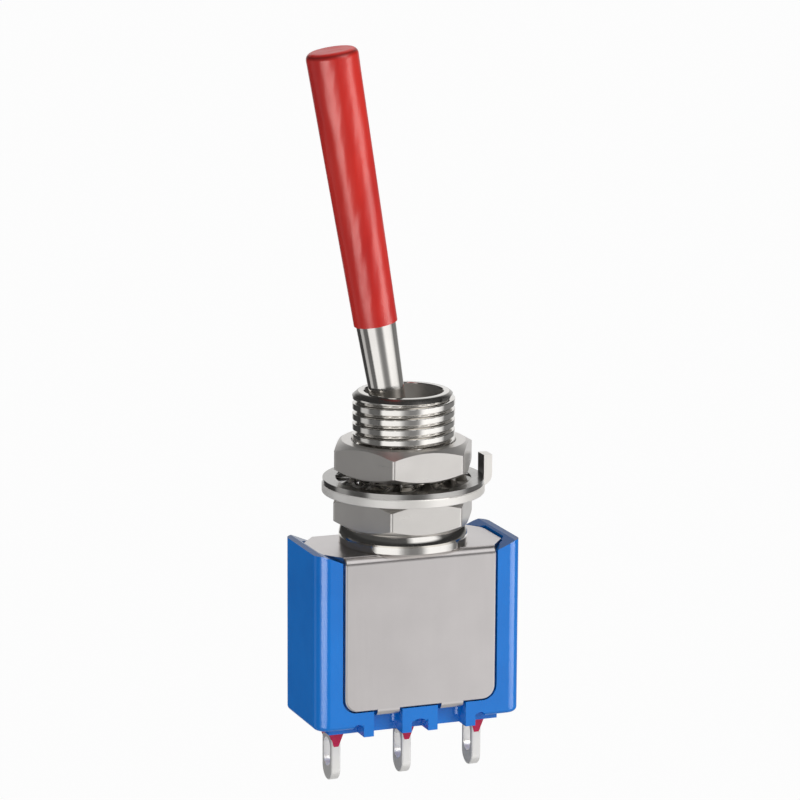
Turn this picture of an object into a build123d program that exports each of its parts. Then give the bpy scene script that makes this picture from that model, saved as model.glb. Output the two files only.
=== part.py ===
from build123d import *
from math import cos, radians, sin, sqrt, tan
import os

# Miniature panel toggle switch with a sleeved lever, a threaded bushing and three solder lugs.
# Millimetres. X is the way the lever throws, Y runs front to back, Z is up the bushing.
# The origin is on the bushing's axis, where the free thread starts above the upper nut.

os.makedirs("parts", exist_ok=True)

# Mounting hardware
thread_radius = 3.175
engaged_radius = 2.97
thread_clearance = 0.03
free_thread_length = 3.04
nut_across_flats = 8.0
nut_thickness = 2.0
nut_chamfer_radius = 3.84
nut_chamfer_angle = 30
nut_bore_chamfer = 0.25
nut_corner_rounding = 0.22
upper_nut_turn = 1.5
nut_top_gap = 0.035
ring_outer_radius = 5.05
ring_thickness = 0.55
ring_edge = 0.07
ring_bore_clearance = 0.08
tab_width = 1.0
tab_offset = 0.14
tab_height = 1.95
tab_bend_radius = 0.15
key_clearance = 0.05
washer_outer_radius = 5.0
washer_rim_width = 0.8
tooth_tip_clearance = 0.33
washer_rim_thickness = 0.33
washer_height = 0.715
washer_teeth = 12
tooth_width = 0.95
tooth_thickness = 0.24
tooth_twist = 26
tooth_root_overlap = 0.15

# Bushing
collar_radius = 4.0
collar_height = 1.2
collar_edge = 0.08
collar_taper = 0.1
groove_height = 0.57
groove_depth = 0.12
groove_width = 0.16
spigot_radius = 2.5
spigot_clearance = 0.01
swage_radius = 2.75
swage_height = 0.35
swage_edge = 0.12
rim_chamfer = 0.3
keyway_width = 0.9
keyway_floor = 2.72

# Lever and its sleeve, measured along the lever from the pivot
lever_tilt = 9.85
pivot_height = 3.13
ball_radius = 2.0
socket_clearance = 0.04
swing_clearance = 0.2
neck_radius = 0.95
lever_middle_radius = 1.24
lever_top_radius = 1.5
sleeve_start = 10.9
sleeve_end = 27.94
sleeve_wall = 0.1
sleeve_clearance = 0.01
sleeve_cap = 0.35
sleeve_cap_gap = 0.04
sleeve_edge = 0.4
stem_radius = 1.2
stem_end = 4.6
stem_bore_radius = 0.85
stem_bore_top = 1.0
stem_edge = 0.1
pin_radius = 0.5
pin_half_length = 2.65
pin_edge = 0.1
pin_press_clearance = 0.01
pin_running_clearance = 0.04

# Spring and plunger
spring_wire_radius = 0.09
spring_radius = 0.6
spring_turns = 5
spring_seat_gap = 0.02
plunger_clearance = 0.05
plunger_shoulder = 3.0
plunger_reach = 5.9
plunger_nose_radius = 0.36
plunger_nose_height = 0.5

# Rocker, saddle and contacts
rocker_tilt = 8
rocker_gap = 0.13
rocker_rise = 0.45
rocker_tip_overhang = 0.5
rocker_half_width = 1.4
rocker_sheet = 0.35
rocker_tip_corner = 0.3
rocker_side_thickness = 0.3
rocker_side_height = 0.5
rocker_side_half_length = 3.2
rib_radius = 0.4
saddle_clearance = 0.05
saddle_half_length = 0.9
saddle_half_width = 1.25
saddle_height = 1.0
saddle_drop = 0.1
contact_gap = 0.08
contact_offset = 0.8
contact_radius = 0.65
contact_height = 0.4
contact_edge = 0.12
shank_radius = 0.35
shank_clearance = 0.02

# Terminals and their resin seals
terminal_pitch = 4.7
terminal_thickness = 0.6
terminal_width = 1.7
terminal_drop = 14.9
terminal_edge = 0.08
arm_overhang = 0.8
arm_bend_radius = 0.15
lug_hole_width = 1.15
lug_hole_length = 1.85
lug_hole_edge = 0.9
seal_length = 1.6
seal_width = 2.6
seal_well_length = 1.5
seal_well_width = 2.4
seal_well_depth = 0.8
seal_pad_height = 0.3
seal_pad_taper = 0.14
seal_tongue = 0.85
seal_root_skin = 0.14
seal_tip_skin = 0.035
seal_tip_width = 0.3
seal_edge_wrap = 0.15
seal_arch_rounding = 0.4
seal_gap = 0.01

# Frame
sheet = 0.4
sheet_edge = 0.12
bend_inner_radius = 0.1
frame_half_depth = 3.22
flange_end_wrap = 1.78
flange_drop = 9.77
flange_corner = 0.85
plate_end_wall = 0.77
plate_side_half_width = 1.5
plate_shoulder_y = 2.85
bracket_tab_x = 2.11
bracket_tab_width = 1.45
bracket_tab_drop = 0.42
bracket_tab_reach = 1.07

# Case
case_end_margin = 2.05
case_half_depth = 3.12
case_corner = 0.85
case_rim = 0.2
case_drop = 10.9
case_bottom_edge = 0.3
frame_gap = 0.04
plate_gap = 0.15
flange_side_gap = 0.13
flange_lower_gap = 0.08
cavity_end_wall = 0.85
cavity_half_width = 2.1
cavity_floor = 8.9
lip_relief_half_length = 3.1
lip_relief_depth = 0.85
wrap_slope_end_gap = 0.45
wrap_slope_drop = 0.5
block_end_step = 1.15
block_half_width = 2.0
block_drop = 11.43
notch_side_gap = 0.215
notch_corner = 0.4
centre_arch_half_width = 0.55
centre_arch_drop = 10.6
side_arch_offset = 1.0
side_arch_width = 0.7
terminal_slot_gap = 0.04

# Levels, from the panel plane down to the frame and from the frame to the mechanism
upper_nut_bottom = -nut_top_gap - nut_thickness
washer_bottom = upper_nut_bottom - washer_height
ring_bottom = washer_bottom - ring_thickness
lower_nut_bottom = ring_bottom - nut_thickness
frame_top = lower_nut_bottom - collar_height
pivot_z = frame_top + pivot_height
rocker_z = pivot_z - plunger_reach - rocker_gap - rocker_rise
terminal_tip = frame_top - terminal_drop
block_bottom = frame_top - block_drop

# Places along the row of lugs
contact_x = terminal_pitch - contact_offset
arm_inner_x = contact_x - arm_overhang
rocker_half_length = contact_x + rocker_tip_overhang
side_arch_inner_x = terminal_pitch - side_arch_offset
case_half_length = terminal_pitch + case_end_margin
plate_half_length = case_half_length - plate_end_wall
flange_half_length = case_half_length - flange_end_wrap

# Axes of the tilted lever and of the tilted rocker
lever_direction = (-sin(radians(lever_tilt)), 0, cos(radians(lever_tilt)))
lever_across = (cos(radians(lever_tilt)), 0, sin(radians(lever_tilt)))
pivot = (0, 0, pivot_z)
lever_plane = Plane(origin=pivot, x_dir=lever_across, z_dir=(0, -1, 0))
lever_axis = Axis(pivot, lever_direction)
rocker_across = (cos(radians(rocker_tilt)), 0, -sin(radians(rocker_tilt)))
rocker_plane = Plane(origin=(0, 0, rocker_z), x_dir=rocker_across, z_dir=(0, -1, 0))


def on_lever(distance):
    return Plane(
        origin=(lever_direction[0] * distance, 0, pivot_z + lever_direction[2] * distance),
        x_dir=lever_across,
        z_dir=lever_direction,
    )


# Case: a cup with wrapped end walls, a recess for each flange, and wells for the terminals
rim_top = frame_top + case_rim
case_bottom = frame_top - case_drop
inner_face_y = frame_half_depth - sheet - frame_gap
recess_half_length = flange_half_length + flange_side_gap
pocket_half_length = plate_half_length + plate_gap
cavity_half_length = case_half_length - cavity_end_wall
wrap_slope_start = case_half_length - wrap_slope_end_gap
block_half_length = case_half_length - block_end_step
notch_width = bracket_tab_width + 2 * notch_side_gap
notch_inner_x = bracket_tab_x - notch_width / 2
notch_outer_x = bracket_tab_x + notch_width / 2
notch_depth = case_half_depth - block_half_width
recess_bottom = frame_top - flange_drop - flange_lower_gap
notch_top = frame_top - flange_drop - bracket_tab_drop + sheet + frame_gap
with BuildPart() as case:
    with BuildSketch(Plane.XY.offset(case_bottom)):
        RectangleRounded(2 * case_half_length, 2 * case_half_depth, case_corner)
    extrude(amount=rim_top - case_bottom)
    fillet(case.faces().sort_by(Axis.Z)[0].edges(), case_bottom_edge)
    # Pocket for the frame's plate, narrowing to the recesses
    with BuildSketch(Plane.XY.offset(rim_top)):
        with BuildLine():
            Polyline(
                (-pocket_half_length, -plate_side_half_width),
                (-recess_half_length, -plate_shoulder_y),
                (-recess_half_length, -case_half_depth),
                (recess_half_length, -case_half_depth),
                (recess_half_length, -plate_shoulder_y),
                (pocket_half_length, -plate_side_half_width),
                (pocket_half_length, plate_side_half_width),
                (recess_half_length, plate_shoulder_y),
                (recess_half_length, case_half_depth),
                (-recess_half_length, case_half_depth),
                (-recess_half_length, plate_shoulder_y),
                (-pocket_half_length, plate_side_half_width),
                close=True,
            )
        make_face()
    extrude(amount=-case_rim - sheet, mode=Mode.SUBTRACT)
    # Cavity, with a relief round the bushing's swaged lip
    with BuildSketch(Plane.XY.offset(frame_top)):
        Rectangle(2 * cavity_half_length, 2 * cavity_half_width)
    extrude(amount=-cavity_floor, mode=Mode.SUBTRACT)
    with BuildSketch(Plane.XY.offset(frame_top)):
        Rectangle(2 * lip_relief_half_length, 2 * case_half_depth)
    extrude(amount=-lip_relief_depth, mode=Mode.SUBTRACT)
    # Recess for each flange, rounded like the flange's lower corners
    for side in (-1, 1):
        with BuildSketch(Plane.XZ.offset(side * case_half_depth)) as recess:
            with Locations((0, recess_bottom)):
                Rectangle(2 * recess_half_length, rim_top - recess_bottom, align=(Align.CENTER, Align.MIN))
            fillet(recess.vertices().group_by(Axis.Y)[0], flange_corner + flange_lower_gap)
        extrude(amount=-side * (case_half_depth - inner_face_y), mode=Mode.SUBTRACT)
    # Tops of the wrapped walls, sloping down to the flanges
    with BuildSketch(Plane.XZ.offset(case_half_depth)):
        for side in (-1, 1):
            with BuildLine():
                Polyline(
                    (side * wrap_slope_start, rim_top),
                    (side * recess_half_length, rim_top - wrap_slope_drop),
                    (side * recess_half_length, rim_top),
                    close=True,
                )
            make_face()
    extrude(amount=-2 * case_half_depth, mode=Mode.SUBTRACT)
    # Block round the terminals and the ribs that end in feet
    with BuildSketch(Plane.XY.offset(block_bottom)):
        Rectangle(2 * block_half_length, 2 * block_half_width)
        for side in (-1, 1):
            with Locations((side * (centre_arch_half_width + notch_inner_x) / 2, 0)):
                Rectangle(notch_inner_x - centre_arch_half_width, 2 * case_half_depth)
            with Locations((side * (notch_outer_x + side_arch_inner_x) / 2, 0)):
                Rectangle(side_arch_inner_x - notch_outer_x, 2 * case_half_depth)
    extrude(amount=case_bottom + case_bottom_edge - block_bottom)
    # Notches for the frame's tabs, round in their inner corners
    for side in (-1, 1):
        with BuildSketch(Plane.XY.offset(block_bottom)) as notches:
            with Locations(
                (-bracket_tab_x, side * (case_half_depth - notch_depth / 2)),
                (bracket_tab_x, side * (case_half_depth - notch_depth / 2)),
            ):
                Rectangle(notch_width, notch_depth)
            inner_corners = notches.vertices().group_by(Axis.Y)[0 if side > 0 else -1]
            fillet(inner_corners, notch_corner)
        extrude(amount=notch_top - block_bottom, mode=Mode.SUBTRACT)
    # Arches between the feet, at the front and at the back
    for side in (-1, 1):
        with BuildSketch(Plane.XZ.offset(side * case_half_depth)):
            with Locations((0, frame_top - centre_arch_drop - centre_arch_half_width)):
                Circle(centre_arch_half_width)
            with Locations((0, block_bottom)):
                Rectangle(
                    2 * centre_arch_half_width,
                    frame_top - centre_arch_drop - centre_arch_half_width - block_bottom,
                    align=(Align.CENTER, Align.MIN),
                )
            for x in (-side_arch_inner_x - side_arch_width / 2, side_arch_inner_x + side_arch_width / 2):
                with Locations((x, frame_top - centre_arch_drop - side_arch_width / 2)):
                    Circle(side_arch_width / 2)
                with Locations((x, block_bottom)):
                    Rectangle(
                        side_arch_width,
                        frame_top - centre_arch_drop - side_arch_width / 2 - block_bottom,
                        align=(Align.CENTER, Align.MIN),
                    )
        extrude(amount=-side * notch_depth, mode=Mode.SUBTRACT)
    # Wells for the resin and slots for the terminals
    with BuildSketch(Plane.XY.offset(block_bottom)):
        with GridLocations(terminal_pitch, 0, 3, 1):
            RectangleRounded(seal_well_length, seal_well_width, notch_corner)
    extrude(amount=seal_well_depth, mode=Mode.SUBTRACT)
    with BuildSketch(Plane.XY.offset(block_bottom)):
        with GridLocations(terminal_pitch, 0, 3, 1):
            Rectangle(
                terminal_thickness + 2 * terminal_slot_gap,
                terminal_width + 2 * terminal_slot_gap,
            )
    extrude(amount=block_drop - cavity_floor, mode=Mode.SUBTRACT)
case.part.label = "case"
export_step(case.part, "parts/case.step")

# Frame: a folded bracket with clipped shoulders and four tabs crimped under the case
flange_bottom = frame_top - flange_drop
bend_outer_radius = bend_inner_radius + sheet
spigot_hole_radius = spigot_radius + spigot_clearance
with BuildPart() as frame:
    with BuildSketch(Plane.YZ) as channel:
        with Locations((0, frame_top)):
            Rectangle(2 * frame_half_depth, flange_drop, align=(Align.CENTER, Align.MAX))
        fillet(channel.vertices().group_by(Axis.Y)[-1], bend_outer_radius)
        with Locations((0, flange_bottom)):
            Rectangle(
                2 * (frame_half_depth - sheet),
                flange_drop - sheet,
                align=(Align.CENTER, Align.MIN),
                mode=Mode.SUBTRACT,
            )
        inner_bends = channel.vertices().filter_by_position(
            Axis.X, sheet / 2 - frame_half_depth, frame_half_depth - sheet / 2
        )
        fillet(inner_bends.group_by(Axis.Y)[-2], bend_inner_radius)
    extrude(amount=flange_half_length, both=True)
    lower_corners = frame.edges().filter_by(Axis.Y).group_by(Axis.Z)[0]
    fillet(lower_corners, flange_corner)
    flange_faces = frame.faces().filter_by(Axis.Y)
    outer_faces = flange_faces.group_by(Axis.Y)[0] + flange_faces.group_by(Axis.Y)[-1]
    fillet(outer_faces.edges().filter_by(Axis.Z), sheet_edge)
    # Plate between the case's end walls
    with BuildSketch(Plane.XY.offset(frame_top)):
        with BuildLine():
            Polyline(
                (-plate_half_length, -plate_side_half_width),
                (-flange_half_length, -plate_shoulder_y),
                (flange_half_length, -plate_shoulder_y),
                (plate_half_length, -plate_side_half_width),
                (plate_half_length, plate_side_half_width),
                (flange_half_length, plate_shoulder_y),
                (-flange_half_length, plate_shoulder_y),
                (-plate_half_length, plate_side_half_width),
                close=True,
            )
        make_face()
    extrude(amount=-sheet)
    with BuildSketch(Plane.XY.offset(frame_top)):
        Circle(spigot_hole_radius)
    extrude(amount=-sheet, mode=Mode.SUBTRACT)
    # Crimped tabs
    tab_bottom = flange_bottom - bracket_tab_drop
    tab_root = flange_bottom + sheet
    for x in (-bracket_tab_x, bracket_tab_x):
        for side in (-1, 1):
            outer_y = side * frame_half_depth
            tip_y = side * (frame_half_depth - bracket_tab_reach)
            inner_y = side * (frame_half_depth - sheet)
            with BuildSketch(Plane.YZ.offset(x)):
                with BuildLine():
                    FilletPolyline(
                        (inner_y, tab_root),
                        (inner_y, tab_bottom + sheet),
                        (tip_y, tab_bottom + sheet),
                        radius=bend_inner_radius,
                    )
                    Line((tip_y, tab_bottom + sheet), (tip_y, tab_bottom))
                    FilletPolyline(
                        (tip_y, tab_bottom),
                        (outer_y, tab_bottom),
                        (outer_y, tab_root),
                        radius=bend_outer_radius,
                    )
                    Line((outer_y, tab_root), (inner_y, tab_root))
                make_face()
            extrude(amount=bracket_tab_width / 2, both=True)
frame.part.label = "frame"
export_step(frame.part, "parts/frame.step")

# Bushing: turned, with a mouth that flares with the lever's swing and a socket for its ball
neck_height = sqrt(ball_radius**2 - neck_radius**2)
lever_taper = (lever_middle_radius - neck_radius) / (sleeve_start - neck_height)
socket_radius = ball_radius + socket_clearance
flare_base = (neck_radius - lever_taper * neck_height) / cos(radians(lever_tilt)) + swing_clearance
flare_rise = tan(radians(lever_tilt)) + lever_taper / cos(radians(lever_tilt)) ** 2
throat_part = flare_base * flare_rise
throat_root = sqrt(throat_part**2 - (1 + flare_rise**2) * (flare_base**2 - socket_radius**2))
throat_height = (throat_root - throat_part) / (1 + flare_rise**2)
throat_radius = flare_base + flare_rise * throat_height
mouth_radius = flare_base + flare_rise * (free_thread_length - pivot_z)
collar_top = frame_top + collar_height
groove_z = frame_top + groove_height
lip_top = frame_top - sheet
lip_bottom = lip_top - swage_height
with BuildPart() as bushing:
    with BuildSketch(Plane.XZ):
        with BuildLine():
            Polyline(
                (socket_radius, pivot_z),
                (socket_radius, lip_bottom),
                (swage_radius - swage_edge, lip_bottom),
                (swage_radius, lip_bottom + swage_edge),
                (swage_radius, lip_top),
                (spigot_radius, lip_top),
                (spigot_radius, frame_top),
                (collar_radius - collar_edge, frame_top),
                (collar_radius, frame_top + collar_edge),
                (collar_radius, groove_z - groove_width / 2),
                (collar_radius - groove_depth, groove_z),
                (collar_radius, groove_z + groove_width / 2),
                (collar_radius - collar_taper, collar_top - collar_edge),
                (collar_radius - collar_taper - collar_edge, collar_top),
                (engaged_radius, collar_top),
                (engaged_radius, 0),
                (thread_radius, 0),
                (thread_radius, free_thread_length - rim_chamfer),
                (thread_radius - rim_chamfer, free_thread_length),
                (mouth_radius, free_thread_length),
                (throat_radius, pivot_z + throat_height),
            )
            RadiusArc(
                (throat_radius, pivot_z + throat_height),
                (socket_radius, pivot_z),
                socket_radius,
            )
        make_face()
    revolve(axis=Axis.Z)
    # Keyway along the thread, at the back
    with BuildSketch(Plane.XY.offset(free_thread_length)):
        with Locations((0, keyway_floor)):
            Rectangle(keyway_width, thread_radius, align=(Align.CENTER, Align.MIN))
    extrude(amount=collar_top - free_thread_length, mode=Mode.SUBTRACT)
    # Cross hole for the pivot pin
    with BuildSketch(Plane.XZ):
        with Locations((0, pivot_z)):
            Circle(pin_radius + pin_press_clearance)
    extrude(amount=thread_radius, both=True, mode=Mode.SUBTRACT)
bushing.part.label = "bushing"
export_step(bushing.part, "parts/bushing.step")

# Pivot pin
with BuildPart() as pivot_pin:
    with BuildSketch(Plane.XZ):
        with Locations((0, pivot_z)):
            Circle(pin_radius)
    extrude(amount=pin_half_length, both=True)
    chamfer(pivot_pin.edges().filter_by(GeomType.CIRCLE), pin_edge)
pivot_pin.part.label = "pivot_pin"
export_step(pivot_pin.part, "parts/pivot_pin.step")

# Lever: tapered rod, ball and hollow stem in one turned piece
lever_end = sleeve_end - sleeve_cap - sleeve_cap_gap
stem_root = sqrt(ball_radius**2 - stem_radius**2)
with BuildPart() as lever:
    with BuildSketch(lever_plane):
        with BuildLine():
            Polyline(
                (stem_radius, -stem_root),
                (stem_radius, -stem_end + stem_edge),
                (stem_radius - stem_edge, -stem_end),
                (stem_bore_radius, -stem_end),
                (stem_bore_radius, -stem_bore_top),
                (0, -stem_bore_top),
                (0, lever_end),
                (lever_top_radius - sleeve_edge, lever_end),
                (lever_top_radius, lever_end - sleeve_edge),
                (lever_middle_radius, sleeve_start),
                (neck_radius, neck_height),
            )
            ThreePointArc(
                (neck_radius, neck_height),
                (ball_radius, 0),
                (stem_radius, -stem_root),
            )
        make_face()
    revolve(axis=lever_axis)
    with BuildSketch(Plane.XZ):
        with Locations((0, pivot_z)):
            Circle(pin_radius + pin_running_clearance)
    extrude(amount=ball_radius, both=True, mode=Mode.SUBTRACT)
lever.part.label = "lever"
export_step(lever.part, "parts/lever.step")

# Sleeve: thin, closed at the top with a rounded rim
sleeve_low_inner = lever_middle_radius + sleeve_clearance
sleeve_high_inner = lever_top_radius + sleeve_clearance
sleeve_high_outer = sleeve_high_inner + sleeve_wall
with BuildPart() as lever_sleeve:
    with BuildSketch(lever_plane):
        with BuildLine():
            Polyline(
                (0, sleeve_end),
                (0, sleeve_end - sleeve_cap),
                (sleeve_high_inner, sleeve_end - sleeve_cap),
                (sleeve_low_inner, sleeve_start),
                (sleeve_low_inner + sleeve_wall, sleeve_start),
            )
            FilletPolyline(
                (sleeve_low_inner + sleeve_wall, sleeve_start),
                (sleeve_high_outer, sleeve_end),
                (0, sleeve_end),
                radius=sleeve_edge,
            )
        make_face()
    revolve(axis=lever_axis)
lever_sleeve.part.label = "lever_sleeve"
export_step(lever_sleeve.part, "parts/lever_sleeve.step")

# Plunger: round-nosed pin with a pilot for the spring
plunger_radius = stem_bore_radius - plunger_clearance
with BuildPart() as plunger:
    with BuildSketch(lever_plane):
        with BuildLine():
            Polyline(
                (plunger_radius, plunger_radius - plunger_reach),
                (plunger_radius, -plunger_shoulder),
                (plunger_nose_radius, -plunger_shoulder),
                (plunger_nose_radius, plunger_nose_height - plunger_shoulder),
                (0, plunger_nose_height - plunger_shoulder),
                (0, -plunger_reach),
            )
            RadiusArc(
                (0, -plunger_reach),
                (plunger_radius, plunger_radius - plunger_reach),
                -plunger_radius,
            )
        make_face()
    revolve(axis=lever_axis)
plunger.part.label = "plunger"
export_step(plunger.part, "parts/plunger.step")

# Spring between the stem bore's end and the plunger's shoulder
spring_low = plunger_shoulder - spring_seat_gap - spring_wire_radius
spring_length = spring_low - stem_bore_top - spring_seat_gap - spring_wire_radius
spring_base = on_lever(-spring_low)
with BuildPart() as lever_spring:
    with BuildLine() as coil:
        Helix(
            pitch=spring_length / spring_turns,
            height=spring_length,
            radius=spring_radius,
            center=spring_base.origin,
            direction=lever_direction,
        )
    with BuildSketch(Plane(origin=coil.line @ 0, z_dir=coil.line % 0)):
        Circle(spring_wire_radius)
    sweep(path=coil.line, is_frenet=True)
lever_spring.part.label = "lever_spring"
export_step(lever_spring.part, "parts/lever_spring.step")

# Rocker: V-shaped strip with side walls and a rib that rocks in the saddle
wing_slope = tan(radians(rocker_tilt))
wing_end_rise = rocker_rise + wing_slope * rocker_half_length
rocker_foot = rocker_rise - rocker_sheet
with BuildPart() as rocker:
    with BuildSketch(rocker_plane):
        with BuildLine():
            Polyline(
                (-rocker_half_length, wing_end_rise - rocker_sheet),
                (-rocker_half_length, wing_end_rise),
                (0, rocker_rise),
                (rocker_half_length, wing_end_rise),
                (rocker_half_length, wing_end_rise - rocker_sheet),
                (0, rocker_foot),
                close=True,
            )
        make_face()
    extrude(amount=rocker_half_width, both=True)
    tip_corners = rocker.edges().filter_by(Axis((0, 0, 0), rocker_plane.y_dir))
    fillet(tip_corners, rocker_tip_corner)
    # Side walls that keep the plunger on the strip
    side_rise = rocker_rise + wing_slope * rocker_side_half_length
    for side in (-1, 1):
        wall_plane = rocker_plane.offset(side * (rocker_half_width - rocker_side_thickness / 2))
        with BuildSketch(wall_plane):
            with BuildLine():
                Polyline(
                    (-rocker_side_half_length, side_rise - rocker_sheet / 2),
                    (-rocker_side_half_length + rocker_side_height, side_rise + rocker_side_height),
                    (0, rocker_rise + rocker_side_height),
                    (rocker_side_half_length - rocker_side_height, side_rise + rocker_side_height),
                    (rocker_side_half_length, side_rise - rocker_sheet / 2),
                    (0, rocker_rise - rocker_sheet / 2),
                    close=True,
                )
            make_face()
        extrude(amount=rocker_side_thickness / 2, both=True)
    # Rib under the middle
    with BuildSketch(rocker_plane):
        Circle(rib_radius)
        with Locations((0, rocker_rise)):
            Rectangle(
                2 * rib_radius,
                rib_radius,
                align=(Align.CENTER, Align.MIN),
                mode=Mode.SUBTRACT,
            )
    extrude(amount=rocker_half_width - rocker_side_thickness, both=True)
rocker.part.label = "rocker"
export_step(rocker.part, "parts/rocker.step")

# Levels of the contacts under the rocker's wings
wing_underside = rocker_z + rocker_foot * cos(radians(rocker_tilt))
contact_top = wing_underside - contact_gap
arm_top = contact_top - contact_height
arm_root = arm_top - 2 * terminal_thickness
tip_centre_z = terminal_tip + terminal_width / 2
lug_hole_z = terminal_tip + lug_hole_edge + lug_hole_length / 2


def make_lug_strip(x, top):
    # Upright strip with a full round tip and a long hole above it
    with BuildPart() as strip:
        with BuildSketch(Plane.YZ.offset(x)):
            with Locations((0, tip_centre_z)):
                Circle(terminal_width / 2)
                Rectangle(terminal_width, top - tip_centre_z, align=(Align.CENTER, Align.MIN))
            with Locations((0, lug_hole_z)):
                SlotOverall(lug_hole_length, lug_hole_width, rotation=90, mode=Mode.SUBTRACT)
        extrude(amount=terminal_thickness / 2, both=True)
        outline = strip.edges().filter_by(GeomType.CIRCLE).group_by(Axis.Z)[0]
        fillet(outline, terminal_edge)
    return strip.part


# End terminals: solder lug below, arm bent inwards above, with a hole for the contact rivet
for name, side in (("terminal_left", -1), ("terminal_right", 1)):
    x_outer = side * (terminal_pitch + terminal_thickness / 2)
    x_inner = side * (terminal_pitch - terminal_thickness / 2)
    lug_strip = make_lug_strip(side * terminal_pitch, arm_top - terminal_thickness)
    with BuildPart() as terminal:
        add(lug_strip)
        with BuildSketch(Plane.XZ):
            with BuildLine():
                FilletPolyline(
                    (x_outer, arm_root),
                    (x_outer, arm_top),
                    (side * arm_inner_x, arm_top),
                    radius=arm_bend_radius + terminal_thickness,
                )
                Line((side * arm_inner_x, arm_top), (side * arm_inner_x, arm_top - terminal_thickness))
                FilletPolyline(
                    (side * arm_inner_x, arm_top - terminal_thickness),
                    (x_inner, arm_top - terminal_thickness),
                    (x_inner, arm_root),
                    radius=arm_bend_radius,
                )
                Line((x_inner, arm_root), (x_outer, arm_root))
            make_face()
        extrude(amount=terminal_width / 2, both=True)
        with BuildSketch(Plane.XY.offset(arm_top)):
            with Locations((side * contact_x, 0)):
                Circle(shank_radius + shank_clearance)
        extrude(amount=-terminal_thickness, mode=Mode.SUBTRACT)
    terminal.part.label = name
    export_step(terminal.part, "parts/" + name + ".step")

# Common terminal: solder lug below, saddle with a round trough above
trough_radius = rib_radius + saddle_clearance
saddle_top = rocker_z - saddle_drop
lug_strip = make_lug_strip(0, saddle_top - saddle_height / 2)
with BuildPart() as terminal_common:
    add(lug_strip)
    with BuildSketch(Plane.XZ):
        with Locations((0, saddle_top)):
            Rectangle(2 * saddle_half_length, saddle_height, align=(Align.CENTER, Align.MAX))
        with Locations((0, rocker_z)):
            Circle(trough_radius, mode=Mode.SUBTRACT)
    extrude(amount=saddle_half_width, both=True)
terminal_common.part.label = "terminal_common"
export_step(terminal_common.part, "parts/terminal_common.step")

# Silver rivets that the rocker's ends land on
for name, side in (("contact_left", -1), ("contact_right", 1)):
    with BuildPart() as contact:
        with BuildSketch(Plane.XY.offset(arm_top)):
            with Locations((side * contact_x, 0)):
                Circle(contact_radius)
        extrude(amount=contact_height)
        fillet(contact.edges().group_by(Axis.Z)[-1], contact_edge)
        with BuildSketch(Plane.XY.offset(arm_top)):
            with Locations((side * contact_x, 0)):
                Circle(shank_radius)
        extrude(amount=-terminal_thickness)
    contact.part.label = name
    export_step(contact.part, "parts/" + name + ".step")

# Resin seals: fill of the well, pad under the block and a tongue that thins out down the lug
for name, place in (("seal_left", -1), ("seal_centre", 0), ("seal_right", 1)):
    x = place * terminal_pitch
    with BuildPart() as seal:
        with BuildSketch(Plane.XY.offset(block_bottom)):
            with Locations((x, 0)):
                RectangleRounded(seal_well_length, seal_well_width, notch_corner)
        extrude(amount=seal_well_depth - seal_gap)
        with BuildSketch(Plane.XY.offset(block_bottom)):
            with Locations((x, 0)):
                Ellipse(seal_length / 2, seal_width / 2)
        with BuildSketch(Plane.XY.offset(block_bottom - seal_pad_height)):
            with Locations((x, 0)):
                Ellipse(seal_length / 2 - seal_pad_taper, seal_width / 2 - seal_pad_taper)
        loft()
        with BuildSketch(Plane.XY.offset(block_bottom - seal_pad_height)):
            with Locations((x, 0)):
                Rectangle(
                    terminal_thickness + 2 * seal_root_skin,
                    terminal_width + 2 * seal_root_skin,
                )
        with BuildSketch(Plane.XY.offset(block_bottom - seal_pad_height - seal_tongue)):
            with Locations((x, 0)):
                Rectangle(seal_tip_width, terminal_width + 2 * seal_tip_skin)
        loft()
        # The resin creeps down the lug's narrow edges, not its broad faces
        with BuildSketch(Plane.YZ.offset(x)) as arch:
            with Locations((0, block_bottom - seal_pad_height)):
                Rectangle(
                    terminal_width - 2 * seal_edge_wrap,
                    seal_tongue,
                    align=(Align.CENTER, Align.MAX),
                )
            fillet(arch.vertices().group_by(Axis.Y)[-1], seal_arch_rounding)
        extrude(amount=seal_length, both=True, mode=Mode.SUBTRACT)
        with BuildSketch(Plane.XY.offset(block_bottom + seal_well_depth)):
            with Locations((x, 0)):
                Rectangle(terminal_thickness + 2 * seal_gap, terminal_width + 2 * seal_gap)
        extrude(amount=-seal_well_depth - seal_pad_height - seal_tongue, mode=Mode.SUBTRACT)
    seal.part.label = name
    export_step(seal.part, "parts/" + name + ".step")


def make_nut(bottom, turn):
    # Hexagon with both ends turned to a cone, and a chamfered bore
    corner_radius = nut_across_flats / sqrt(3)
    cone_height = (corner_radius - nut_chamfer_radius) * tan(radians(nut_chamfer_angle))
    bore_radius = engaged_radius + thread_clearance
    with BuildPart() as nut:
        with BuildSketch(Plane.XY.offset(bottom)):
            hexagon = RegularPolygon(nut_across_flats / 2, 6, major_radius=False, rotation=turn)
            fillet(hexagon.vertices(), nut_corner_rounding)
        extrude(amount=nut_thickness)
        with BuildSketch(Plane.XZ):
            with BuildLine():
                Polyline(
                    (bore_radius + nut_bore_chamfer, bottom),
                    (nut_chamfer_radius, bottom),
                    (corner_radius, bottom + cone_height),
                    (corner_radius, bottom + nut_thickness - cone_height),
                    (nut_chamfer_radius, bottom + nut_thickness),
                    (bore_radius + nut_bore_chamfer, bottom + nut_thickness),
                    (bore_radius, bottom + nut_thickness - nut_bore_chamfer),
                    (bore_radius, bottom + nut_bore_chamfer),
                    close=True,
                )
            make_face()
        revolve(axis=Axis.Z, mode=Mode.INTERSECT)
    return nut


# Nuts
upper_nut = make_nut(upper_nut_bottom, upper_nut_turn)
upper_nut.part.label = "upper_nut"
export_step(upper_nut.part, "parts/upper_nut.step")

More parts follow.
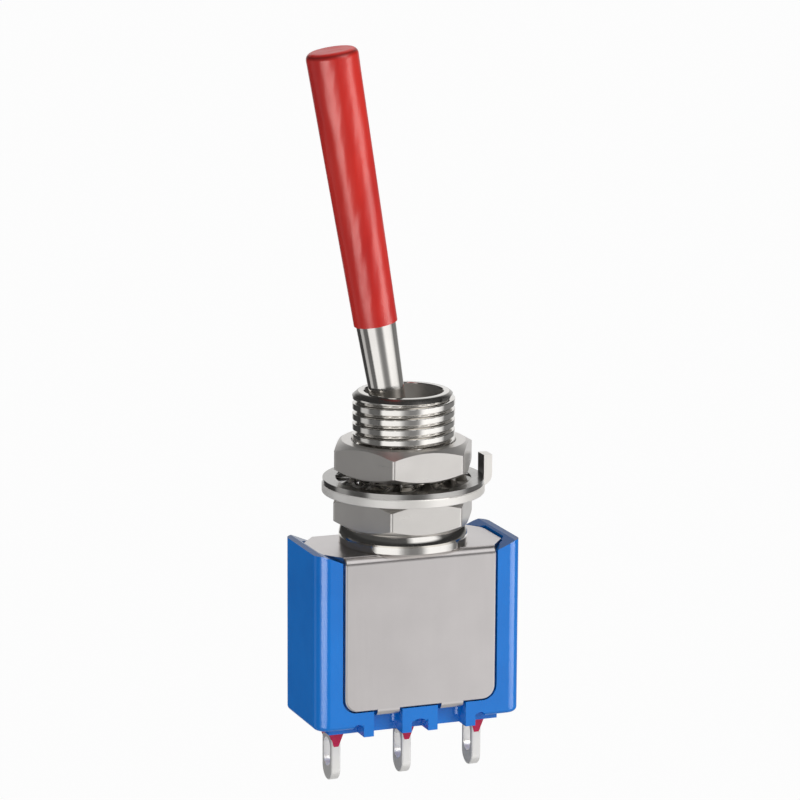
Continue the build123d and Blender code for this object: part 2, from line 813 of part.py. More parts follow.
lower_nut = make_nut(lower_nut_bottom, 0)
lower_nut.part.label = "lower_nut"
export_step(lower_nut.part, "parts/lower_nut.step")

# Locating ring: keyed to the bushing, with one tab turned up
ring_bore_radius = engaged_radius + ring_bore_clearance
tab_inner_x = ring_outer_radius + tab_offset
tab_top = ring_bottom + tab_height
with BuildPart() as locating_ring:
    with BuildSketch(Plane.XY.offset(ring_bottom)):
        Circle(ring_outer_radius)
        Circle(ring_bore_radius, mode=Mode.SUBTRACT)
        with Locations((0, keyway_floor + key_clearance)):
            Rectangle(
                keyway_width - 2 * key_clearance,
                ring_bore_radius - keyway_floor,
                align=(Align.CENTER, Align.MIN),
            )
    extrude(amount=ring_thickness)
    rims = locating_ring.edges().filter_by(GeomType.CIRCLE).group_by(SortBy.RADIUS)[-1]
    fillet(rims, ring_edge)
    with BuildSketch(Plane.XZ):
        with BuildLine():
            FilletPolyline(
                (ring_outer_radius - ring_thickness, ring_bottom),
                (tab_inner_x + ring_thickness, ring_bottom),
                (tab_inner_x + ring_thickness, tab_top),
                radius=tab_bend_radius + ring_thickness,
            )
            Line((tab_inner_x + ring_thickness, tab_top), (tab_inner_x, tab_top))
            FilletPolyline(
                (tab_inner_x, tab_top),
                (tab_inner_x, ring_bottom + ring_thickness),
                (ring_outer_radius - ring_thickness, ring_bottom + ring_thickness),
                radius=tab_bend_radius,
            )
            Line(
                (ring_outer_radius - ring_thickness, ring_bottom + ring_thickness),
                (ring_outer_radius - ring_thickness, ring_bottom),
            )
        make_face()
    extrude(amount=tab_width / 2, both=True)
locating_ring.part.label = "locating_ring"
export_step(locating_ring.part, "parts/locating_ring.step")

# Lock washer: rim with inward teeth, each twisted out of the rim's plane
washer_inner_radius = washer_outer_radius - washer_rim_width
tooth_tip_radius = engaged_radius + tooth_tip_clearance
tooth_middle_z = washer_bottom + washer_height / 2
tooth_root_z = washer_bottom + washer_rim_thickness / 2
with BuildPart() as lock_washer:
    with BuildSketch(Plane.XY.offset(washer_bottom)):
        Circle(washer_outer_radius)
        Circle(washer_inner_radius, mode=Mode.SUBTRACT)
    extrude(amount=washer_rim_thickness)
    for tooth in range(washer_teeth):
        angle = radians(360 / washer_teeth * tooth)
        outward = Vector(cos(angle), sin(angle), 0)
        across = Vector(-sin(angle), cos(angle), 0)
        lean = radians(tooth_twist)
        twisted = across * cos(lean) + Vector(0, 0, sin(lean))
        root_at = outward * (washer_inner_radius + tooth_root_overlap) + Vector(0, 0, tooth_root_z)
        tip_at = outward * tooth_tip_radius + Vector(0, 0, tooth_middle_z)
        with BuildSketch(Plane(origin=root_at, x_dir=across, z_dir=-outward)):
            Rectangle(tooth_width, tooth_thickness)
        with BuildSketch(Plane(origin=tip_at, x_dir=twisted, z_dir=-outward)):
            Rectangle(tooth_width, tooth_thickness)
        loft()
lock_washer.part.label = "lock_washer"
export_step(lock_washer.part, "parts/lock_washer.step")
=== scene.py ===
from math import atan2, cos, pi, radians, sin, sqrt

import bpy
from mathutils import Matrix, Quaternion, Vector


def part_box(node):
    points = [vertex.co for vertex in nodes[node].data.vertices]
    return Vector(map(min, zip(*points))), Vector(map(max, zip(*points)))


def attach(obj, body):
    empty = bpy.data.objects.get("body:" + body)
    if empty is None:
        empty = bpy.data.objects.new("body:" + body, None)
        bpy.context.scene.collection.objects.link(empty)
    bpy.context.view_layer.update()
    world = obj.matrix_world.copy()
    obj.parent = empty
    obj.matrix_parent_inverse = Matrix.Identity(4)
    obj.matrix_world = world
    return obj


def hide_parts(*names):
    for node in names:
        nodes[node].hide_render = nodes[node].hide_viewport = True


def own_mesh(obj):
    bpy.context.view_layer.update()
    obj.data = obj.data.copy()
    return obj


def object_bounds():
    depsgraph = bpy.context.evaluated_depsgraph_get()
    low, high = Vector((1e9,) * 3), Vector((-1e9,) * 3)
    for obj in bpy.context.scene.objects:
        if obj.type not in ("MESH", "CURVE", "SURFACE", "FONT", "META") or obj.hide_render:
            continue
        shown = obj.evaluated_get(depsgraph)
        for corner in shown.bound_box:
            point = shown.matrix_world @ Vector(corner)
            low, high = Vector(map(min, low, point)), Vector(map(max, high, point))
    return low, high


# Panel toggle switch: materials for the frame's solids, and a bushing with its thread cut.
# Metres, in the part's own frame: the origin is where the free thread starts, +Z up the bushing.

MM = 0.001

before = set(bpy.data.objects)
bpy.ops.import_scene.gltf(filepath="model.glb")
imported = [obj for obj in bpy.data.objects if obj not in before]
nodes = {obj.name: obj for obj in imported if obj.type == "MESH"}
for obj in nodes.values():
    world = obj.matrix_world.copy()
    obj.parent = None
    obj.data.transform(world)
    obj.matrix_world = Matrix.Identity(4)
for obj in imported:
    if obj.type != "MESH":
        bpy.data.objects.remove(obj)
cad_box = [list(corner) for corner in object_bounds()]

# Camera, at the photograph's place, aim and roll
CAMERA_PLACE = Vector((-80.504, -207.376, 48.980)) * MM
CAMERA_AIM = Vector((-0.210, 0.081, 2.407)) * MM
CAMERA_ROLL = radians(0.308)
CAMERA_LENS = 166.2
CAMERA_SENSOR = 36.0
CLIP_START = 0.01
CLIP_END = 20.0

# Thread and turned profile of the bushing
THREAD_RADIUS = 3.175 * MM
ENGAGED_RADIUS = 2.97 * MM
THREAD_PITCH = 0.635 * MM
THREAD_DEPTH = 0.27 * MM
THREAD_START = 0.0
THREAD_PHASE = 0.15
CREST_SHARE = 0.5
FREE_ROWS = 30
COVERED_ROWS = 8
SHOULDER_PARTS = 10
RIM_CHAMFER = 0.3 * MM
RIM_ROUNDING = 0.06 * MM
KEYWAY_HALF_WIDTH = 0.45 * MM
KEYWAY_FLOOR = 2.72 * MM
KEYWAY_COLUMNS = (1.0, 0.5, 0.0, -0.5, -1.0)
KEYWAY_INSET = 0.98
COLUMNS = 192
COLLAR_HEIGHT = 1.2 * MM
COLLAR_EDGE = 0.08 * MM
COLLAR_TAPER = 0.1 * MM
GROOVE_HEIGHT = 0.57 * MM
GROOVE_HALF_WIDTH = 0.08 * MM
GROOVE_DEPTH = 0.12 * MM
SPIGOT_RADIUS = 2.5 * MM
SWAGE_RADIUS = 2.75 * MM
SWAGE_EDGE = 0.12 * MM
SHEET = 0.4 * MM
SOCKET_RADIUS = 2.04 * MM
PIVOT_Z = -3.37 * MM
THROAT_RADIUS = 1.43 * MM
MOUTH_RADIUS = 2.43 * MM
SOCKET_STEPS = 10
SHARP_ANGLE = radians(38)

# The lever as thrown in the photograph
LEVER_TILT = radians(9.85)
LEVER_AXIS = (-sin(LEVER_TILT), 0.0, cos(LEVER_TILT))

# Stretch of the surface marks along each axis: a small number draws them out
EVEN = (1.0, 1.0, 1.0)
TURNED = (0.25, 0.25, 6.0)
ROLLED = (6.0, 0.4, 0.25)
RING_MARKS = (4.0, 4.0, 0.3)
SLEEVE_CLOUDS = (1.0, 1.0, 0.35)
SLEEVE_WAVES = (1.0, 1.0, 0.26)

# Noise: scales per metre, and the part of its range that runs from one tone to the other
METAL_CLOUD = 350.0
METAL_GRAIN = 900.0
PLASTIC_CLOUD = 260.0
SLEEVE_CLOUD = 420.0
SLEEVE_WAVE = 700.0
TONE_START = 0.3
TONE_END = 0.7

# Tones of the sleeve
SLEEVE_DARK = (0.53, 0.010, 0.009)
SLEEVE_LIGHT = (0.69, 0.022, 0.013)
SLEEVE_SPECULAR = 0.42
SLEEVE_SMOOTH = 0.24
SLEEVE_ROUGH = 0.40
SLEEVE_WAVE_DEPTH = 0.15 * MM

# Painted shade: darker faces, by how squarely they look along an axis: (dot product, level of the
# tone)
UP = (0.0, 0.0, 1.0)
SLEEVE_END_PAINTED_SHADE = ((0.10, 1.0), (0.62, 0.34), (0.93, 1.0))
NUT_CHAMFER_PAINTED_SHADE = ((0.70, 1.0), (0.87, 0.75), (0.97, 1.0))
CASE_TOP_PAINTED_SHADE = ((0.75, 1.0), (0.95, 0.32))
# Painted shade on the inner side of the locating ring's tab, which stands up from this height
TAB_INWARD = (-1.0, 0.0, 0.0)
TAB_INSIDE_PAINTED_SHADE = ((0.70, 1.0), (0.90, 0.12))
TAB_FOOT = -2.75 * MM
SHADE_FADE = 0.1 * MM

# Floor
FLOOR_DROP = 90.0 * MM
FLOOR_SIZE = 6.0
FLOOR_TINT = 0.86
FLOOR_SHADOWED = 0.2
FLOOR_GLOW = 0.85

# What the metal sees round the horizon, as shares of a turn from -X through -Y, +X and +Y.
# Below eye level: two white cards in front with a grey gap, dark at both sides, pale behind.
CARDS = (
    (0.000, 0.13),
    (0.041, 0.11),
    (0.060, 0.98),
    (0.166, 0.98),
    (0.184, 0.60),
    (0.202, 0.33),
    (0.230, 0.22),
    (0.265, 0.23),
    (0.287, 0.36),
    (0.300, 0.70),
    (0.313, 1.00),
    (0.330, 1.12),
    (0.420, 1.05),
    (0.455, 0.75),
    (0.480, 0.18),
    (0.530, 0.20),
    (0.610, 0.22),
    (0.640, 0.84),
    (0.740, 0.84),
    (0.765, 0.05),
    (0.845, 0.05),
    (0.875, 0.03),
    (0.893, 0.52),
    (0.943, 0.52),
    (0.967, 0.13),
)
# Just above eye level: the dim room on the camera's side, the pale backdrop behind the part
ROOM = (
    (0.000, 0.03),
    (0.600, 0.03),
    (0.635, 0.82),
    (0.740, 0.78),
    (0.775, 0.03),
    (1.000, 0.03),
)
# Higher up: one pale panel in front
PANEL = (
    (0.000, 0.06),
    (0.210, 0.08),
    (0.250, 1.05),
    (0.370, 1.05),
    (0.410, 0.10),
    (0.600, 0.06),
    (0.635, 0.78),
    (0.740, 0.74),
    (0.775, 0.06),
    (1.000, 0.06),
)
# Where each layer gives way to the next, as heights of a direction of length 1
ROOM_FROM = (-0.04, 0.04)
PANEL_FROM = (0.30, 0.40)
OVERHEAD_FROM = (0.90, 0.95)
UNDERNEATH_FROM = (-0.62, -0.82)
OVERHEAD = 0.10
UNDERNEATH = 0.50
# What the matt parts get from all sides, and what the camera sees behind the part
SOFT_LEVEL = 0.64
BACKDROP_LEVEL = 0.97

# Lamps
LAMP_COLOUR = (1.0, 0.965, 0.92)
LAMP_DISTANCE = 0.3
LAMP_HEIGHT = 0.13
LAMP_LOWERED = Vector((0.0, 0.0, -0.043))
KEY_PLACE = Vector((0.28, -0.42, 0.26))
KEY_WIDTH = 0.30
KEY_HEIGHT = 0.40
KEY_RADIANCE = 3.8
CASE_PARTS = ("case", "seal_left", "seal_centre", "seal_right")
SLEEVE_PARTS = ("lever_sleeve",)
BRIGHT_METAL = ("terminal_left", "terminal_common", "terminal_right", "locating_ring")
# Tall boxes that draw the long highlights: (name, parts, share of a turn, width, radiance)
TALL_BOXES = (
    ("case_left_box", CASE_PARTS, 0.155, 0.25, 7.0),
    ("case_right_box", CASE_PARTS, 0.40, 0.22, 4.8),
    ("sleeve_left_box", SLEEVE_PARTS, 0.115, 0.18, 8.2),
    ("sleeve_right_box", SLEEVE_PARTS, 0.40, 0.15, 6.4),
)


def grey(level):
    return (level, level, level, 1.0)


def clear_nodes(owner):
    owner.use_nodes = True
    owner.node_tree.nodes.clear()


def add_node(owner, kind, **settings):
    node = owner.node_tree.nodes.new(kind)
    for key, value in settings.items():
        if key in node.inputs:
            node.inputs[key].default_value = value
        else:
            setattr(node, key, value)
    return node


def link(owner, source, target):
    owner.node_tree.links.new(source, target)


def add_object(name, data):
    item = bpy.data.objects.new(name, data)
    bpy.context.scene.collection.objects.link(item)
    return item


def new_material(name):
    material = bpy.data.materials.new(name)
    clear_nodes(material)
    shader = add_node(material, "ShaderNodeBsdfPrincipled")
    output = add_node(material, "ShaderNodeOutputMaterial")
    link(material, shader.outputs["BSDF"], output.inputs["Surface"])
    return material, shader


def stretched_noise(material, stretch, scale, detail=3.0):
    # Noise in the part's own space, drawn out along the axis with the smallest stretch
    place = add_node(material, "ShaderNodeTexCoord")
    mapping = add_node(material, "ShaderNodeMapping")
    mapping.inputs["Scale"].default_value = stretch
    noise = add_node(material, "ShaderNodeTexNoise", Scale=scale, Detail=detail)
    link(material, place.outputs["Object"], mapping.inputs["Vector"])
    link(material, mapping.outputs["Vector"], noise.inputs["Vector"])
    return noise.outputs["Fac"]


def two_tones(material, factor, dark, light, target):
    ramp = add_node(material, "ShaderNodeValToRGB")
    ramp.color_ramp.elements[0].position = TONE_START
    ramp.color_ramp.elements[0].color = (*dark, 1.0)
    ramp.color_ramp.elements[1].position = TONE_END
    ramp.color_ramp.elements[1].color = (*light, 1.0)
    link(material, factor, ramp.inputs["Fac"])
    link(material, ramp.outputs["Color"], target)


def vary(material, factor, low, high, target):
    spread = add_node(material, "ShaderNodeMapRange")
    spread.inputs["To Min"].default_value = low
    spread.inputs["To Max"].default_value = high
    link(material, factor, spread.inputs["Value"])
    link(material, spread.outputs["Result"], target)


def share_between(owner, value, start, end):
    # From 0 at the start to 1 at the end
    share = add_node(owner, "ShaderNodeMapRange")
    share.inputs["From Min"].default_value = start
    share.inputs["From Max"].default_value = end
    link(owner, value, share.inputs["Value"])
    return share.outputs["Result"]


def grey_ramp(owner, factor, stops):
    ramp = add_node(owner, "ShaderNodeValToRGB")
    elements = ramp.color_ramp.elements
    while len(elements) > 1:
        elements.remove(elements[-1])
    first_position, first_level = stops[0]
    elements[0].position = first_position
    elements[0].color = grey(first_level)
    for position, level in stops[1:]:
        element = elements.new(position)
        element.color = grey(level)
    link(owner, factor, ramp.inputs["Fac"])
    return ramp.outputs["Color"]


def paint_shade_facing(material, shader, axis, stops, above=None):
    # Painted shade: a darker tone by how squarely a face looks along the axis, and above a height
    # if one is given
    place = add_node(material, "ShaderNodeTexCoord")
    along = add_node(material, "ShaderNodeVectorMath", operation="DOT_PRODUCT")
    along.inputs[1].default_value = axis
    link(material, place.outputs["Normal"], along.inputs[0])
    level = grey_ramp(material, along.outputs["Value"], stops)
    tone = add_node(material, "ShaderNodeMixRGB", blend_type="MULTIPLY", Fac=1.0)
    colour = shader.inputs["Base Color"].links[0].from_socket
    link(material, colour, tone.inputs["Color1"])
    link(material, level, tone.inputs["Color2"])
    link(material, tone.outputs["Color"], shader.inputs["Base Color"])
    if above is not None:
        split = add_node(material, "ShaderNodeSeparateXYZ")
        link(material, place.outputs["Object"], split.inputs["Vector"])
        rise = share_between(material, split.outputs["Z"], above, above + SHADE_FADE)
        link(material, rise, tone.inputs["Fac"])
    return level


def relief(material, shader, factor, depth):
    bump = add_node(material, "ShaderNodeBump", Strength=1.0, Distance=depth)
    link(material, factor, bump.inputs["Height"])
    link(material, bump.outputs["Normal"], shader.inputs["Normal"])


def plated(name, dark, light, smooth, rough, stretch, depth=0.004 * MM, metallic=1.0, painted_shade=None):
    # Plated metal: faint cloudy tone, patchy gloss, and tool or rolling marks along one direction
    material, shader = new_material(name)
    shader.inputs["Metallic"].default_value = metallic
    cloud = stretched_noise(material, EVEN, METAL_CLOUD)
    two_tones(material, cloud, dark, light, shader.inputs["Base Color"])
    marks = stretched_noise(material, stretch, METAL_GRAIN)
    vary(material, marks, smooth, rough, shader.inputs["Roughness"])
    relief(material, shader, marks, depth)
    # Painted shade on faces by how squarely they look up, where stops for it are given
    if painted_shade:
        paint_shade_facing(material, shader, UP, painted_shade)
    return material


def moulded(name, dark, light, smooth, rough, grain, depth, specular=0.5, top=None):
    # Moulded plastic or resin: slight mottling and a finely uneven skin
    material, shader = new_material(name)
    shader.inputs["Specular IOR Level"].default_value = specular
    cloud = stretched_noise(material, EVEN, PLASTIC_CLOUD)
    two_tones(material, cloud, dark, light, shader.inputs["Base Color"])
    skin = stretched_noise(material, EVEN, grain, detail=4.0)
    vary(material, skin, smooth, rough, shader.inputs["Roughness"])
    relief(material, shader, skin, depth)
    # Painted shade on upward faces, with their specular lowered in step
    if top:
        level = paint_shade_facing(material, shader, UP, top)
        vary(material, level, 0.0, specular, shader.inputs["Specular IOR Level"])
    return material


def sleeve_plastic():
    # Soft red sleeve: slightly wavy along its length, with painted shade round the rim of its end
    material, shader = new_material("red_sleeve")
    shader.inputs["Specular IOR Level"].default_value = SLEEVE_SPECULAR
    cloud = stretched_noise(material, SLEEVE_CLOUDS, SLEEVE_CLOUD)
    two_tones(material, cloud, SLEEVE_DARK, SLEEVE_LIGHT, shader.inputs["Base Color"])
    paint_shade_facing(material, shader, LEVER_AXIS, SLEEVE_END_PAINTED_SHADE)
    wave = stretched_noise(material, SLEEVE_WAVES, SLEEVE_WAVE, detail=2.0)
    vary(material, wave, SLEEVE_SMOOTH, SLEEVE_ROUGH, shader.inputs["Roughness"])
    relief(material, shader, wave, SLEEVE_WAVE_DEPTH)
    return material


def dress(material, *names):
    for name in names:
        slots = nodes[name].data.materials
        slots.clear()
        slots.append(material)


def bushing_profile(top, base):
    # Turned outline from the foot of the socket, round the outside, up to the mouth and back
    # down the bore: (radius, z, cut by the keyway, threaded)
    groove_z = base + GROOVE_HEIGHT
    collar_top = base + COLLAR_HEIGHT
    collar_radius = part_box("bushing")[1].x
    lip_top = base - SHEET
    lip_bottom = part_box("bushing")[0].z
    rows = [
        (SOCKET_RADIUS, lip_bottom, False, False),
        (SWAGE_RADIUS - SWAGE_EDGE, lip_bottom, False, False),
        (SWAGE_RADIUS, lip_bottom + SWAGE_EDGE, False, False),
        (SWAGE_RADIUS, lip_top, False, False),
        (SPIGOT_RADIUS, lip_top, False, False),
        (SPIGOT_RADIUS, base, False, False),
        (collar_radius - COLLAR_EDGE, base, False, False),
        (collar_radius, base + COLLAR_EDGE, False, False),
        (collar_radius, groove_z - GROOVE_HALF_WIDTH, False, False),
        (collar_radius - GROOVE_DEPTH, groove_z, False, False),
        (collar_radius, groove_z + GROOVE_HALF_WIDTH, False, False),
        (collar_radius - COLLAR_TAPER, collar_top - COLLAR_EDGE, False, False),
        (collar_radius - COLLAR_TAPER - COLLAR_EDGE, collar_top, False, False),
        (ENGAGED_RADIUS, collar_top, True, False),
    ]
    # The stretch inside the nuts, the washer and the ring, cut down to the engaged radius
    step = THREAD_PITCH / COVERED_ROWS
    z = collar_top + step
    while z < THREAD_START - step / 2:
        rows.append((ENGAGED_RADIUS, z, True, True))
        z += step
    rows.append((ENGAGED_RADIUS, THREAD_START, True, True))
    # A short shoulder, then the free thread up to its chamfer
    z = THREAD_START + step / SHOULDER_PARTS
    step = THREAD_PITCH / FREE_ROWS
    thread_end = top - RIM_CHAMFER
    while z < thread_end:
        rows.append((THREAD_RADIUS, z, True, True))
        z += step
    throat_z = PIVOT_Z + sqrt(SOCKET_RADIUS**2 - THROAT_RADIUS**2)
    rows += [
        (THREAD_RADIUS, thread_end, True, True),
        (THREAD_RADIUS - RIM_CHAMFER / 2, top - RIM_CHAMFER / 2, True, True),
        (THREAD_RADIUS - RIM_CHAMFER, top - RIM_ROUNDING / 2, True, False),
        (THREAD_RADIUS - RIM_CHAMFER - RIM_ROUNDING, top, True, False),
        (MOUTH_RADIUS + RIM_ROUNDING, top, False, False),
        (MOUTH_RADIUS, top - RIM_ROUNDING, False, False),
        (THROAT_RADIUS, throat_z, False, False),
    ]
    throat_angle = atan2(throat_z - PIVOT_Z, THROAT_RADIUS)
    for i in range(1, SOCKET_STEPS + 1):
        angle = throat_angle * (1 - i / SOCKET_STEPS)
        z = PIVOT_Z + SOCKET_RADIUS * sin(angle)
        rows.append((SOCKET_RADIUS * cos(angle), z, False, False))
    return rows


def thread_cut(z, angle):
    # Depth of the helical groove under the crest at this height and angle
    turn = (z / THREAD_PITCH - angle / (2 * pi) + THREAD_PHASE) % 1.0
    from_groove = abs(turn - 0.5) * 2
    rise = min(from_groove / (1 - CREST_SHARE), 1.0)
    return THREAD_DEPTH * (1 - rise * rise * (3 - 2 * rise))


def column_places():
    # Angles round the bushing, with the keyway at +Y: (angle, x, is_floor).
    # The keyway's floor is as wide as the keyway, whatever the thread does beside it.
    wall = atan2(KEYWAY_HALF_WIDTH, THREAD_RADIUS)
    places = []
    for i in range(COLUMNS):
        angle = pi / 2 + wall + (2 * pi - 2 * wall) * i / (COLUMNS - 1)
        places.append((angle, None, False))
    for share in KEYWAY_COLUMNS:
        offset = wall * share * KEYWAY_INSET
        places.append((pi / 2 - offset, KEYWAY_HALF_WIDTH * share, True))
    return places


def bushing_point(row, place):
    radius, z, keyed, threaded = row
    angle, x, is_floor = place
    if keyed and is_floor:
        return (x, KEYWAY_FLOOR, z)
    if threaded:
        radius -= thread_cut(z, angle)
    return (radius * cos(angle), radius * sin(angle), z)


def threaded_bushing(metal, bore_painted_shade_metal, rim_painted_shade_metal):
    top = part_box("bushing")[1].z
    rows = bushing_profile(top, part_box("frame")[1].z)
    places = column_places()
    points = [bushing_point(row, place) for row in rows for place in places]
    count = len(places)
    faces = []
    for i in range(len(rows)):
        here = i * count
        following = (i + 1) % len(rows) * count
        for j in range(count):
            beside = (j + 1) % count
            faces.append((here + j, here + beside, following + beside, following + j))
    mesh = bpy.data.meshes.new("bushing_turned")
    mesh.from_pydata(points, [], faces)
    mesh.validate()
    piece = add_object("bushing_turned", mesh)
    mesh.shade_smooth()
    mesh.set_sharp_from_angle(angle=SHARP_ANGLE)
    for material in (metal, bore_painted_shade_metal, rim_painted_shade_metal):
        mesh.materials.append(material)
    # Painted shade: the bore gets the darker bore metal
    bore_start = rows.index((MOUTH_RADIUS, top - RIM_ROUNDING, False, False))
    for face in mesh.polygons[bore_start * count:]:
        face.material_index = 1
    # The chamfer at the thread's end and its rounding, outside the rim's flat, in the darker rim
    # metal: painted shade
    chamfer = rows.index((THREAD_RADIUS, top - RIM_CHAMFER, True, True))
    flat = rows.index((THREAD_RADIUS - RIM_CHAMFER - RIM_ROUNDING, top, True, False))
    for face in mesh.polygons[chamfer * count:flat * count]:
        face.material_index = 2
    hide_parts("bushing")
    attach(piece, "housing")


def shorten_spring():
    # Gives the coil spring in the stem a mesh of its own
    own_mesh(nodes["lever_spring"])


def studio_floor():
    # Pale and even to the camera, and a plain matt bounce to everything else
    level = cad_box[0][2] - FLOOR_DROP
    half = FLOOR_SIZE / 2
    mesh = bpy.data.meshes.new("floor")
    corners = [(x * half, y * half, level) for x, y in ((-1, -1), (1, -1), (1, 1), (-1, 1))]
    mesh.from_pydata(corners, [], [(0, 1, 2, 3)])
    floor = add_object("floor", mesh)
    material = bpy.data.materials.new("floor")
    clear_nodes(material)
    path = add_node(material, "ShaderNodeLightPath")
    matt = add_node(material, "ShaderNodeBsdfDiffuse", Color=grey(FLOOR_TINT))
    seen_matt = add_node(material, "ShaderNodeBsdfDiffuse", Color=grey(FLOOR_SHADOWED))
    glow = add_node(material, "ShaderNodeEmission", Strength=FLOOR_GLOW)
    seen = add_node(material, "ShaderNodeAddShader")
    choose = add_node(material, "ShaderNodeMixShader")
    output = add_node(material, "ShaderNodeOutputMaterial")
    link(material, seen_matt.outputs["BSDF"], seen.inputs[0])
    link(material, glow.outputs["Emission"], seen.inputs[1])
    link(material, path.outputs["Is Camera Ray"], choose.inputs["Fac"])
    link(material, matt.outputs["BSDF"], choose.inputs[1])
    link(material, seen.outputs["Shader"], choose.inputs[2])
    link(material, choose.outputs["Shader"], output.inputs["Surface"])
    mesh.materials.append(material)
    # The shiny parts mirror the studio's cards and boxes instead of this floor
    floor.visible_glossy = False


def mix_colours(world, factor, low, high):
    mix = add_node(world, "ShaderNodeMixRGB")
    link(world, factor, mix.inputs["Fac"])
    for source, key in ((low, "Color1"), (high, "Color2")):
        if isinstance(source, float):
            mix.inputs[key].default_value = grey(source)
        else:
            link(world, source, mix.inputs[key])
    return mix.outputs["Color"]


def studio_world():
    world = bpy.data.worlds.new("studio")
    bpy.context.scene.world = world
    clear_nodes(world)
    place = add_node(world, "ShaderNodeTexCoord")
    split = add_node(world, "ShaderNodeSeparateXYZ")
    turn = add_node(world, "ShaderNodeMath", operation="ARCTAN2")
    link(world, place.outputs["Generated"], split.inputs["Vector"])
    link(world, split.outputs["Y"], turn.inputs[0])
    link(world, split.outputs["X"], turn.inputs[1])
    share = share_between(world, turn.outputs["Value"], -pi, pi)
    height = split.outputs["Z"]
    layers = (
        (ROOM_FROM, grey_ramp(world, share, ROOM)),
        (PANEL_FROM, grey_ramp(world, share, PANEL)),
        (OVERHEAD_FROM, OVERHEAD),
        (UNDERNEATH_FROM, UNDERNEATH),
    )
    seen = grey_ramp(world, share, CARDS)
    for (start, end), layer in layers:
        seen = mix_colours(world, share_between(world, height, start, end), seen, layer)
    # Mirror images see the layers, the camera sees the backdrop and all else an even light
    path = add_node(world, "ShaderNodeLightPath")
    reflected = add_node(world, "ShaderNodeBackground", Strength=1.0)
    soft = add_node(world, "ShaderNodeBackground", Color=grey(1.0), Strength=SOFT_LEVEL)
    backdrop = add_node(world, "ShaderNodeBackground", Color=grey(1.0), Strength=BACKDROP_LEVEL)
    choose = add_node(world, "ShaderNodeMixShader")
    show = add_node(world, "ShaderNodeMixShader")
    output = add_node(world, "ShaderNodeOutputWorld")
    link(world, seen, reflected.inputs["Color"])
    link(world, path.outputs["Is Glossy Ray"], choose.inputs["Fac"])
    link(world, soft.outputs["Background"], choose.inputs[1])
    link(world, reflected.outputs["Background"], choose.inputs[2])
    link(world, path.outputs["Is Camera Ray"], show.inputs["Fac"])
    link(world, choose.outputs["Shader"], show.inputs[1])
    link(world, backdrop.outputs["Background"], show.inputs[2])
    link(world, show.outputs["Shader"], output.inputs["Surface"])


def direction(share):
    # Level direction at this share of a turn from -X through -Y
    angle = 2 * pi * share - pi
    return Vector((cos(angle), sin(angle), 0.0))


def soft_box(name, place, width, height, radiance, parts):
    # Rectangular lamp that looks at the origin and lights only these parts
    light = bpy.data.lights.new(name, "AREA")
    light.shape = "RECTANGLE"
    light.size = width
    light.size_y = height
    light.energy = radiance * pi * width * height
    light.color = LAMP_COLOUR
    lamp = add_object(name, light)
    lamp.location = place
    lamp.rotation_mode = "QUATERNION"
    lamp.rotation_quaternion = (-place).to_track_quat("-Z", "Y")
    lit = bpy.data.collections.new(name + "_parts")
    for part in parts:
        lit.objects.link(nodes[part])
    lamp.light_linking.receiver_collection = lit
    return lamp


def studio_lights():
    key_parts = CASE_PARTS + SLEEVE_PARTS + BRIGHT_METAL
    soft_box("key", KEY_PLACE, KEY_WIDTH, KEY_HEIGHT, KEY_RADIANCE, key_parts)
    for name, parts, share, width, radiance in TALL_BOXES:
        place = LAMP_DISTANCE * direction(share) + LAMP_LOWERED
        lamp = soft_box(name, place, width, LAMP_HEIGHT, radiance, parts)
        lamp.visible_diffuse = False


def studio_camera():
    data = bpy.data.cameras.new("camera")
    data.lens = CAMERA_LENS
    data.sensor_width = CAMERA_SENSOR
    data.clip_start = CLIP_START
    data.clip_end = CLIP_END
    camera = add_object("camera", data)
    camera.location = CAMERA_PLACE
    camera.rotation_mode = "QUATERNION"
    looking = (CAMERA_AIM - CAMERA_PLACE).to_track_quat("-Z", "Y")
    camera.rotation_quaternion = looking @ Quaternion((0, 0, 1), CAMERA_ROLL)
    bpy.context.scene.camera = camera
    bpy.context.scene.view_settings.view_transform = "Standard"


# Metals: name, the two tones, roughness from and to, direction of the marks
bushing_metal = plated(
    "bushing_nickel", (0.85, 0.825, 0.79), (0.94, 0.915, 0.875), 0.06, 0.14, TURNED
)
# The bore is tinted dark as painted shade inside the mouth
bore_painted_shade_metal = plated(
    "bushing_bore_painted_shade", (0.46, 0.44, 0.41), (0.58, 0.56, 0.53), 0.3, 0.45, TURNED, metallic=0.85
)
# The chamfer at the thread's end is tinted dark as painted shade
rim_painted_shade_metal = plated(
    "bushing_rim_painted_shade", (0.30, 0.288, 0.27), (0.42, 0.405, 0.385), 0.16, 0.26, TURNED
)
# The nuts get painted shade on their chamfers
nut_metal = plated(
    "nut_nickel", (0.80, 0.77, 0.74), (0.88, 0.85, 0.815), 0.25, 0.33, TURNED,
    metallic=0.86, painted_shade=NUT_CHAMFER_PAINTED_SHADE,
)
lever_metal = plated(
    "lever_nickel", (0.81, 0.785, 0.75), (0.89, 0.865, 0.83), 0.09, 0.16, TURNED
)
ring_metal = plated(
    "ring_steel", (0.90, 0.88, 0.85), (0.97, 0.95, 0.92), 0.32, 0.46, RING_MARKS, metallic=0.4
)
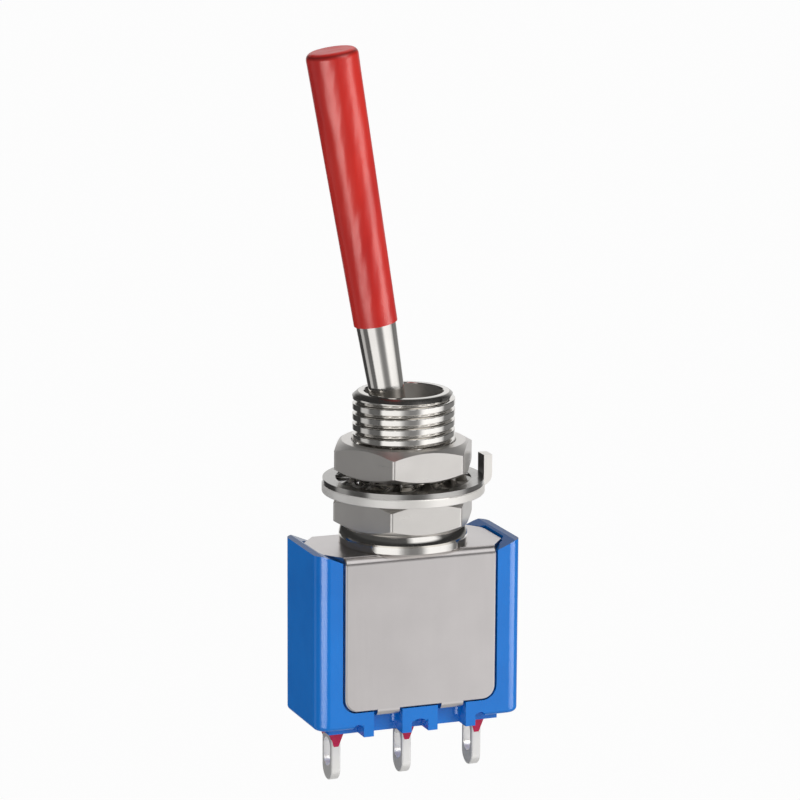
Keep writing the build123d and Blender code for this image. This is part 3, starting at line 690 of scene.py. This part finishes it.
ring_shader = ring_metal.node_tree.nodes["Principled BSDF"]
# Painted shade on the inner face of the ring's tab
paint_shade_facing(ring_metal, ring_shader, TAB_INWARD, TAB_INSIDE_PAINTED_SHADE, above=TAB_FOOT)
washer_metal = plated(
    "washer_steel", (0.42, 0.41, 0.395), (0.54, 0.53, 0.51), 0.12, 0.24, EVEN
)
frame_metal = plated(
    "frame_steel", (0.685, 0.652, 0.646), (0.725, 0.69, 0.684), 0.26, 0.32, ROLLED,
    depth=0.001 * MM,
)
inner_metal = plated("pin_steel", (0.5, 0.5, 0.5), (0.62, 0.62, 0.62), 0.15, 0.3, TURNED)
tin = plated(
    "terminal_tin", (0.86, 0.85, 0.83), (0.97, 0.96, 0.94), 0.26, 0.38, EVEN, metallic=0.5
)
silver = plated("terminal_silver", (0.86, 0.85, 0.83), (0.94, 0.93, 0.91), 0.16, 0.28, EVEN)

# Plastics and resin: name, the two tones, roughness from and to, scale and depth of the skin
# The blue case gets painted shade on its upward faces
blue = moulded(
    "blue_plastic", (0.003, 0.185, 0.68), (0.004, 0.215, 0.76), 0.14, 0.22, 2600.0, 0.003 * MM,
    specular=0.44, top=CASE_TOP_PAINTED_SHADE,
)
red = sleeve_plastic()
crimson = moulded(
    "crimson_resin", (0.54, 0.0, 0.05), (0.80, 0.006, 0.13), 0.14, 0.30, 1400.0, 0.03 * MM,
    specular=0.4,
)
cream = moulded(
    "plunger_plastic", (0.68, 0.67, 0.62), (0.76, 0.75, 0.70), 0.35, 0.5, 2000.0, 0.003 * MM
)

dress(nut_metal, "upper_nut", "lower_nut")
dress(lever_metal, "lever")
dress(ring_metal, "locating_ring")
dress(washer_metal, "lock_washer")
dress(frame_metal, "frame")
dress(inner_metal, "pivot_pin", "lever_spring")
dress(tin, "terminal_left", "terminal_common", "terminal_right")
dress(silver, "contact_left", "contact_right", "rocker")
dress(blue, "case")
dress(red, "lever_sleeve")
dress(crimson, "seal_left", "seal_centre", "seal_right")
dress(cream, "plunger")
threaded_bushing(bushing_metal, bore_painted_shade_metal, rim_painted_shade_metal)
shorten_spring()

studio_floor()
studio_world()
studio_lights()
studio_camera()
